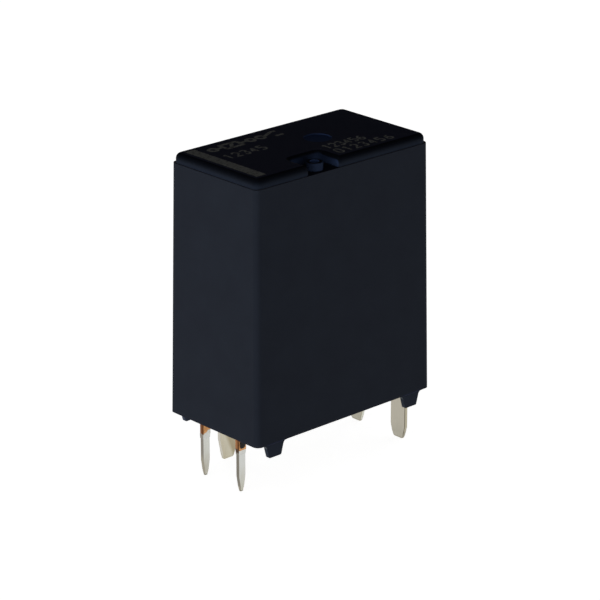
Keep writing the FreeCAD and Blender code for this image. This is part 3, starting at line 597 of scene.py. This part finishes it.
def newPiece(name, verts, faces, material, body):
    mesh = bpy.data.meshes.new(name)
    mesh.from_pydata([[value * mm for value in vert] for vert in verts], [], faces)
    work = bmesh.new()
    work.from_mesh(mesh)
    bmesh.ops.recalc_face_normals(work, faces=work.faces)
    work.to_mesh(mesh)
    work.free()
    mesh.materials.append(material)
    piece = newObject(name, mesh)
    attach(piece, body)
    return piece


def smoothBelow(piece, angle):
    piece.data.shade_smooth()
    piece.data.set_sharp_from_angle(angle=math.radians(angle))


def loft(verts, faces, rings):
    # joins closed rings of equal length, and caps both ends
    first = len(verts)
    count = len(rings[0])
    for ring in rings:
        verts.extend(ring)
    for row in range(len(rings) - 1):
        for step in range(count):
            a = first + row * count + step
            b = first + row * count + (step + 1) % count
            faces.append((a, b, b + count, a + count))
    last = first + (len(rings) - 1) * count
    faces.append(tuple(range(first + count - 1, first - 1, -1)))
    faces.append(tuple(range(last, last + count)))


# Coil wire: winding, two leads, and the wraps round the pins

wireSet = {
    "thickness": 0.1,
    "coilX": -3.7,
    "inner": 2.68, "outer": 4.3,
    "low": 5.63, "high": 19.37,
    "coilSteps": 48,
    # outline of one turn: share of its height, and of the wire's thickness that it lies inwards
    "turnShape": [(0.0, 0.5), (0.2, 0.2), (0.5, 0.0), (0.8, 0.2)],
    "leadX": -9.85, "leadY": 4.15, "leadTop": 6.98, "leadLevel": 1.85, "leadBend": 0.5,
    "pinX": -10.0, "pinY": 2.54, "pinHalfX": 0.4, "pinHalfY": 0.2,
    "wrapTop": 1.9, "wrapBottom": -0.12,
    "wrapOut": 0.095,           # how far a turn stands off the pin
    "wrapSink": 0.022,          # how deep the varnish leaves the groove between turns
    "wrapCorner": 0.11,
    "rearFlat": 0.035,          # how far the rear wrap is pressed in on the far side
}
copperFinish = {
    "dark": (0.34, 0.15, 0.045), "light": (0.64, 0.32, 0.125), "cloudScale": 1.6,
    "coilDark": (0.36, 0.15, 0.05), "coilLight": (0.50, 0.23, 0.085), "coilCloudScale": 0.6,
    "coilFrom": (4.0, 5.0),
    "coat": 0.1, "coatRoughness": 0.2, "grainScale": 6, "grainHeight": 0.004,
    # painted shade on the pins' narrow side, from the corner with the broad side outwards, darker on the rear
    # wrap
    "sideFacing": (0.5, 0.85), "sideBelow": (2.0, 2.2), "rearFrom": (0.0, 1.0),
    "side": [(0.0, (0.11, 0.04, 0.012)), (0.35, (0.20, 0.075, 0.02)), (0.6, (0.32, 0.13, 0.037)),
             (1.0, (0.44, 0.20, 0.075))],
    "sideRear": (0.13, 0.038, 0.009), "sideRearShare": 0.6,
    "darkBrown": (0.06, 0.032, 0.015), "darkBrownRange": (-0.02, 0.14),
    # where solder has run over the rear wrap: height at its left and right side
    "silver": (0.61, 0.612, 0.565), "silverSide": (0.245, 0.225, 0.193),
    "runLeft": 0.0, "runRight": 0.34, "runFade": (-0.03, 0.03),
    "runRaggedScale": 3.0, "runRagged": (-0.06, 0.06),
}


def narrowSide(tree, place, rear):
    # 0 at the corner with the broad side, 1 at the far corner
    f = copperFinish
    w = wireSet
    halfY = w["pinHalfY"] + w["wrapOut"]
    pinY = both(tree, maths(tree, "SIGN", place["Y"]), w["pinY"])
    out = maths(tree, "ADD", maths(tree, "SUBTRACT", place["Y"], pinY), halfY)
    # painted shade across the narrow side, darker on the rear wrap
    side = ramp(tree, maths(tree, "DIVIDE", out, 2 * halfY), f["side"])
    side = mixed(tree, both(tree, rear, f["sideRearShare"]), side, f["sideRear"])
    # dark brown at the foot of the front wrap's narrow side
    low = both(tree, reach(tree, place["Z"], f["darkBrownRange"], falling), opposite(tree, rear))
    return mixed(tree, low, side, f["darkBrown"])


def solderRun(tree, point, place):
    # 1 below the solder's slanting, ragged edge
    f = copperFinish
    w = wireSet
    slope = (f["runRight"] - f["runLeft"]) / (2 * w["pinHalfX"])
    start = f["runLeft"] - slope * (w["pinX"] - w["pinHalfX"])
    level = maths(tree, "MULTIPLY_ADD", place["X"], slope, start)
    ragged = reach(tree, noise(tree, point, f["runRaggedScale"]), (0.3, 0.7), f["runRagged"])
    above = maths(tree, "ADD", maths(tree, "SUBTRACT", place["Z"], level), ragged)
    return reach(tree, above, f["runFade"], falling)


def lacqueredCopper():
    f = copperFinish
    material, tree, shader = newMaterial("lacqueredCopper", 0.32, metallic=0.85)
    point = perMillimetre(tree)
    place = axes(tree, point)
    across = facing(tree)[0]
    broad = clouded(tree, noise(tree, point, f["cloudScale"], 3), f["dark"], f["light"], (0.25, 0.6))
    packed = clouded(tree, noise(tree, point, f["coilCloudScale"], 3), f["coilDark"], f["coilLight"])
    broad = mixed(tree, reach(tree, place["Z"], f["coilFrom"]), broad, packed)
    atPin = both(tree, reach(tree, place["Z"], f["sideBelow"], falling), reach(tree, across, f["sideFacing"]))
    rear = reach(tree, place["Y"], f["rearFrom"])
    colour = mixed(tree, atPin, broad, narrowSide(tree, place, rear))
    # solder toned darker on the narrow side, painted reflection as on the pins
    solder = mixed(tree, atPin, f["silver"], f["silverSide"])
    colour = mixed(tree, both(tree, solderRun(tree, point, place), rear), colour, solder)
    tree.links.new(colour, shader.inputs["Base Color"])
    shader.inputs["Coat Weight"].default_value = f["coat"]
    shader.inputs["Coat Roughness"].default_value = f["coatRoughness"]
    bump(tree, shader, noise(tree, point, f["grainScale"], 2), f["grainHeight"])
    return material


def roundedRing(x, y, halfX, halfY, corner, z, perCorner=3):
    ring = []
    for index, (sx, sy) in enumerate(((1, 1), (-1, 1), (-1, -1), (1, -1))):
        for step in range(perCorner + 1):
            angle = math.pi / 2 * (index + step / perCorner)
            ring.append((x + sx * (halfX - corner) + corner * math.cos(angle),
                         y + sy * (halfY - corner) + corner * math.sin(angle), z))
    return ring


def turnsBetween(low, high):
    # how many turns fill a height, and the height of one
    turns = round((high - low) / wireSet["thickness"])
    return turns, (high - low) / turns


def coilOutline():
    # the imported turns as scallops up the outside, then back down the bore
    w = wireSet
    turns, pitch = turnsBetween(w["low"], w["high"])
    outline = [(w["inner"], w["low"])]
    for turn in range(turns):
        z = w["low"] + turn * pitch
        for share, sink in w["turnShape"]:
            outline.append((w["outer"] - sink * w["thickness"], z + share * pitch))
    outline.append((w["outer"] - w["turnShape"][0][1] * w["thickness"], w["high"]))
    outline.append((w["inner"], w["high"]))
    return outline


def lathe(verts, faces, outline, x, steps):
    first = len(verts)
    count = len(outline)
    for step in range(steps):
        angle = math.tau * step / steps
        for radius, z in outline:
            verts.append((x + radius * math.cos(angle), radius * math.sin(angle), z))
    for step in range(steps):
        here = first + step * count
        there = first + (step + 1) % steps * count
        for index in range(count):
            onward = (index + 1) % count
            faces.append((here + index, there + index, there + onward, here + onward))


def bentPath(corners, bend, steps=5):
    # a line through square corners, each rounded to the radius bend
    path = [corners[0]]
    for before, here, after in zip(corners, corners[1:], corners[2:]):
        inward = (before - here).normalized()
        onward = (after - here).normalized()
        centre = here + (inward + onward) * bend
        for step in range(steps + 1):
            angle = math.pi / 2 * step / steps
            path.append(centre - onward * bend * math.cos(angle) - inward * bend * math.sin(angle))
    path.append(corners[-1])
    return path


def alongPath(path, index):
    before = path[max(index - 1, 0)]
    after = path[min(index + 1, len(path) - 1)]
    return (after - before).normalized()


def tube(verts, faces, path, radius, sides=8):
    rings = []
    side = Vector((1, 0, 0))
    for index, here in enumerate(path):
        along = alongPath(path, index)
        side = side - along * side.dot(along)
        if side.length < 0.1:           # the path runs along the old side
            side = along.orthogonal()
        side.normalize()
        third = along.cross(side)
        rings.append([here + (side * math.cos(a) + third * math.sin(a)) * radius
                      for a in (math.tau * k / sides for k in range(sides))])
    loft(verts, faces, rings)


def leadPath(side):
    # from the coil's foot out past the yoke, down to the board side and in to the pin
    w = wireSet
    y = side * w["leadY"]
    pinSide = side * (w["pinY"] + w["pinHalfY"] + w["thickness"] / 2)
    corners = [(w["coilX"], y, w["leadTop"]), (w["leadX"], y, w["leadTop"]), (w["leadX"], y, w["leadLevel"]),
               (w["leadX"], pinSide, w["leadLevel"])]
    return bentPath([Vector(corner) for corner in corners], w["leadBend"])


def wrapRings(side):
    # a full ring at the middle of each turn and a sunk one between turns
    w = wireSet
    turns, pitch = turnsBetween(w["wrapBottom"], w["wrapTop"])
    flat = w["rearFlat"] if side > 0 else 0
    rings = []
    for half in range(2 * turns + 1):
        out = w["wrapOut"] if half % 2 else w["wrapOut"] - w["wrapSink"]
        rings.append(roundedRing(w["pinX"], side * w["pinY"] - flat, w["pinHalfX"] + out,
                                 w["pinHalfY"] + out - flat, w["wrapCorner"],
                                 w["wrapBottom"] + half / 2 * pitch))
    return rings


def makeWire():
    w = wireSet
    verts, faces = [], []
    lathe(verts, faces, coilOutline(), w["coilX"], w["coilSteps"])
    for side in (-1, 1):
        tube(verts, faces, leadPath(side), w["thickness"] / 2)
        loft(verts, faces, wrapRings(side))
    wire = newPiece("wound_wire", verts, faces, lacqueredCopper(), "housing")
    smoothBelow(wire, 50)
    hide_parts("coil_winding")


makeWire()
print("coil wire made")


# Resin that crept down the front pin's broad side

runSet = {
    "x": -10.0, "left": -0.36, "right": 0.33,
    "top": 1.2, "bottom": 0.06,
    "back": -2.8, "front": -2.865,
    # the lower edge: steps along it, how far it rises to its ends, and how late
    "steps": 14, "rise": 0.3, "riseLate": 1.5,
    # rounding of the front: share of the outline, and distance behind the front
    "rounding": [(1.0, 0.03), (0.9, 0.008), (0.75, 0.0)],
}


def makeResinRun():
    r = runSet
    centreX = (r["left"] + r["right"]) / 2
    centreZ = (r["top"] + r["bottom"]) / 2
    half = (r["right"] - r["left"]) / 2
    outline = [(r["left"], r["top"])]
    for step in range(r["steps"] + 1):
        angle = math.pi * step / r["steps"]
        rise = r["rise"] * (1 - math.sin(angle)) ** r["riseLate"]
        outline.append((centreX - half * math.cos(angle), r["bottom"] + rise))
    outline.append((r["right"], r["top"]))
    layers = [(1.0, r["back"])] + [(share, r["front"] + behind) for share, behind in r["rounding"]]
    rings = [[(r["x"] + centreX + (x - centreX) * share, y, centreZ + (z - centreZ) * share)
              for x, z in outline] for share, y in layers]
    verts, faces = [], []
    loft(verts, faces, rings)
    run = newPiece("resin_run", verts, faces, castResin("resinRun", runFinish), "housing")
    smoothBelow(run, 60)


makeResinRun()
print("resin run made")


# Contact spring: follows the yoke below the hinge corner and the armature past it

springSet = {"start": (-9.62, 0, 20.5), "end": (-8.6, 0, 22.2)}


def makeSpring():
    work = bmesh.new()
    work.from_mesh(nodes["contact_spring"].data)
    bmesh.ops.remove_doubles(work, verts=work.verts, dist=softSet["weld"] * mm)
    mesh = bpy.data.meshes.new("leaf_spring")
    work.to_mesh(mesh)
    work.free()
    for layer in [a for a in mesh.attributes if a.name == "custom_normal"]:
        mesh.attributes.remove(layer)
    mesh.materials.clear()
    mesh.materials.append(plainMetal("springBronze", bronzeFinish))
    leaf = newObject("leaf_spring", mesh)
    smoothBelow(leaf, 30)
    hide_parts("contact_spring")
    start = [value * mm for value in springSet["start"]]
    end = [value * mm for value in springSet["end"]]
    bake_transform(leaf, "housing", "armature", start=start, end=end)


makeSpring()
print("spring made")


# Print on the cap: a stripe at the coil end, a plain wiring sketch and plain numbers

printSet = {
    "level": 27.121, "film": 0.02,
    "ink": (0.122, 0.125, 0.119), "thin": (0.058, 0.059, 0.057), "inkScale": 5.0, "inkHeight": 0.004,
    "ragged": 0.035,
    "stripe": (-9.95, -4.97, -8.8, 4.97),
    # a coil and a changeover contact: each ring by its place along x, each stroke by its points, whose
    # heights are shares of sketchHalf
    "sketchY": 3.7, "sketchHalf": 0.6, "bold": 0.36,
    "sketch": [
        ("ring", -7.6),
        ("stroke", [(-7.05, 0), (-6.5, 0)]),
        ("stroke", [(-6.35, -1), (-6.35, 1), (-4.35, 1), (-4.35, -1), (-6.5, -1)]),
        ("stroke", [(-5.85, -1), (-4.85, 1)]),
        ("stroke", [(-4.2, 0), (-3.6, 0)]),
        ("ring", -3.0),
        ("ring", -1.75),
        ("stroke", [(-1.2, 0), (0.0, 1)]),
        ("stroke", [(-0.35, -1), (0.6, -1)]),
        ("stroke", [(0.0, 1), (0.6, 1)]),
    ],
    # plain numbers: text, left, foot, height, width, gap, stroke
    "numbers": [("12345", -8.2, 0.65, 1.15, 0.62, 0.4, 0.2), ("123456", 0.5, -3.2, 1.1, 0.55, 0.3, 0.2),
                ("0123456", 0.5, -4.8, 1.1, 0.6, 0.45, 0.2)],
    "seed": 7,
}
inkRandom = random.Random(printSet["seed"])

# each digit on a grid one wide and two high, as lines of points
digitLines = {
    "0": [[(0, 0.4), (0, 1.6), (0.3, 2), (0.7, 2), (1, 1.6), (1, 0.4), (0.7, 0), (0.3, 0), (0, 0.4)]],
    "1": [[(0.15, 1.6), (0.55, 2), (0.55, 0)]],
    "2": [[(0, 1.6), (0.3, 2), (0.7, 2), (1, 1.6), (1, 1.25), (0, 0), (1, 0)]],
    "3": [[(0, 1.7), (0.3, 2), (0.7, 2), (1, 1.6), (0.7, 1.05), (0.4, 1.05)],
          [(0.7, 1.05), (1, 0.5), (0.7, 0), (0.3, 0), (0, 0.3)]],
    "4": [[(0.75, 0), (0.75, 2), (0, 0.6), (1, 0.6)]],
    "5": [[(0.95, 2), (0.1, 2), (0.05, 1.1), (0.6, 1.2), (1, 0.8), (1, 0.4), (0.6, 0), (0, 0.15)]],
    "6": [[(0.9, 1.9), (0.4, 1.7), (0, 1), (0, 0.4), (0.3, 0), (0.7, 0), (1, 0.4), (1, 0.8), (0.6, 1.1),
           (0, 0.8)]],
}


def stampedInk():
    p = printSet
    material, tree, shader = newMaterial("stampedInk", 0.6, specular=0.1)
    cloud = noise(tree, perMillimetre(tree), p["inkScale"], 3)
    tree.links.new(clouded(tree, cloud, p["thin"], p["ink"], (0.36, 0.5)), shader.inputs["Base Color"])
    bump(tree, shader, cloud, p["inkHeight"])
    return material


def ribbon(verts, faces, points, width, step=0.12):
    # a flat stroke with ragged sides, as ink leaves it
    path = []
    for start, end in zip(points, points[1:]):
        start, end = Vector(start), Vector(end)
        parts = max(1, round((end - start).length / step))
        path += [start.lerp(end, part / parts) for part in range(parts)]
    path.append(Vector(points[-1]))
    first = len(verts)
    for index, here in enumerate(path):
        along = alongPath(path, index)
        side = Vector((-along.y, along.x))
        for way in (1, -1):
            out = width / 2 + inkRandom.uniform(-1, 1) * printSet["ragged"]
            edge = here + side * way * out
            verts.append((edge.x, edge.y, printSet["level"]))
    for index in range(len(path) - 1):
        a = first + 2 * index
        faces.append((a, a + 1, a + 3, a + 2))


def circle(x, y, radius, steps=16):
    return [(x + radius * math.cos(math.tau * k / steps), y + radius * math.sin(math.tau * k / steps))
            for k in range(steps + 1)]


def digits(verts, faces, text, x, y, height, width, gap, stroke):
    for sign in text:
        for line in digitLines[sign]:
            ribbon(verts, faces, [(x + px * width, y + pz * height / 2) for px, pz in line], stroke)
        x += width + gap


def makePrint():
    p = printSet
    verts, faces = [], []
    left, low, right, high = p["stripe"]
    middle = (left + right) / 2
    ribbon(verts, faces, [(middle, low), (middle, high)], right - left)
    for kind, shape in p["sketch"]:
        if kind == "ring":
            points = circle(shape, p["sketchY"], p["sketchHalf"] - p["bold"] / 2)
        else:
            points = [(x, p["sketchY"] + share * p["sketchHalf"]) for x, share in shape]
        ribbon(verts, faces, points, p["bold"])
    for row in p["numbers"]:
        digits(verts, faces, *row)
    marks = newPiece("cap_print", verts, faces, stampedInk(), "housing")
    work = bmesh.new()
    work.from_mesh(marks.data)
    bmesh.ops.reverse_faces(work, faces=[face for face in work.faces if face.normal.z < 0])
    work.to_mesh(marks.data)
    work.free()
    film = marks.modifiers.new("film", "SOLIDIFY")
    film.thickness = p["film"] * mm
    film.offset = -1


makePrint()
print("print made")


# Floor, lamps and world: white all round and low, dark overhead

studio = {
    "floorSize": 4.0,
    "floorShow": 0.86,
    "floorColour": (0.75, 0.75, 0.75),
    "lampDistance": 0.8,
    "lampHeight": 0.1,
    "lampLength": 0.9,
    # azimuth seen from above (0 is -Y, 90 is +X), share of a full light
    "lamps": [("coilEnd", -90, 0.87), ("front", -20, 0.37), ("contactEnd", 90, 0.55), ("rear", 165, 0.5)],
    "worldDim": 0.13,
    # for reflections: bright up to the first height, dark from the second
    "skyFade": (-0.02, 0.14), "skyLight": (0.7, 0.0),
}


def lightRays(tree):
    return tree.nodes.new("ShaderNodeLightPath").outputs


def makeFloor():
    lowest = cadBox[0].z
    half = studio["floorSize"] / 2
    mesh = bpy.data.meshes.new("floor")
    corners = [(-half, -half, lowest), (half, -half, lowest), (half, half, lowest), (-half, half, lowest)]
    mesh.from_pydata(corners, [], [(0, 1, 2, 3)])
    floor = newObject("floor", mesh)
    material, tree, shader = newMaterial("floorPaper", 1.0, specular=0.0)
    shader.inputs["Base Color"].default_value = (*studio["floorColour"], 1)
    shader.inputs["Emission Color"].default_value = (1, 1, 1, 1)
    # white for camera, mirror and see-through rays
    rays = lightRays(tree)
    shown = maths(tree, "MAXIMUM", rays["Is Camera Ray"], rays["Is Glossy Ray"])
    shown = maths(tree, "MAXIMUM", shown, rays["Is Transmission Ray"])
    show = reach(tree, shown, (0.0, 1.0), (0.0, studio["floorShow"]))
    tree.links.new(show, shader.inputs["Emission Strength"])
    mesh.materials.append(material)


def makeLamp(name, azimuth, share):
    turn = math.radians(azimuth)
    away = Vector((math.sin(turn), -math.cos(turn), 0)) * studio["lampDistance"]
    data = bpy.data.lights.new(name, "AREA")
    data.shape = "RECTANGLE"
    data.size = studio["lampLength"]
    data.size_y = studio["lampHeight"]
    data.energy = share * math.pi ** 2 * studio["lampDistance"] ** 2
    lamp = newObject(name, data)
    lamp.location = away + Vector((0, 0, cadBox[0].z + studio["lampHeight"] / 2))
    lamp.rotation_euler = (math.pi / 2, 0, turn)
    lamp.visible_camera = False
    lamp.visible_glossy = False


def makeWorld():
    world = bpy.data.worlds.new("studio")
    bpy.context.scene.world = world
    world.use_nodes = True
    tree = world.node_tree
    background = tree.nodes["Background"]
    background.inputs["Color"].default_value = (1, 1, 1, 1)
    coordinates = tree.nodes.new("ShaderNodeTexCoord")
    height = axes(tree, coordinates.outputs["Generated"])["Z"]
    rays = lightRays(tree)
    mirrored = both(tree, rays["Is Glossy Ray"], reach(tree, height, studio["skyFade"], studio["skyLight"]))
    shown = maths(tree, "MAXIMUM", rays["Is Camera Ray"], rays["Is Transmission Ray"])
    shown = maths(tree, "MAXIMUM", shown, mirrored)
    ambient = both(tree, opposite(tree, rays["Is Glossy Ray"]), studio["worldDim"])
    tree.links.new(maths(tree, "MAXIMUM", shown, ambient), background.inputs["Strength"])


makeFloor()
for lampName, lampAzimuth, lampShare in studio["lamps"]:
    makeLamp(lampName, lampAzimuth, lampShare)
makeWorld()
print("studio done")


# Camera at the photograph's place

cameraPlace = {
    "azimuth": -42.67,
    "elevation": 20.52,
    "distance": 261.6,
    "aimRight": -0.105,
    "aimUp": -2.142,
    "aimHeight": 13.785,
    "lens": 166.31,
    "clip": (0.01, 20),
}


def makeCamera():
    c = cameraPlace
    turn = math.radians(c["azimuth"])
    tilt = math.radians(c["elevation"])
    back = Vector((math.sin(turn) * math.cos(tilt), -math.cos(turn) * math.cos(tilt), math.sin(tilt)))
    right = (-back).cross(Vector((0, 0, 1))).normalized()
    up = right.cross(-back)
    data = bpy.data.cameras.new("camera")
    data.lens = c["lens"]
    data.clip_start, data.clip_end = c["clip"]
    camera = newObject("camera", data)
    aim = Vector((0, 0, c["aimHeight"])) + right * c["aimRight"] + up * c["aimUp"]
    camera.location = (aim + back * c["distance"]) * mm
    camera.rotation_mode = "QUATERNION"
    camera.rotation_quaternion = (-back).to_track_quat("-Z", "Y")
    bpy.context.scene.camera = camera


makeCamera()
bpy.context.scene.view_settings.view_transform = "Standard"

print("scene done")
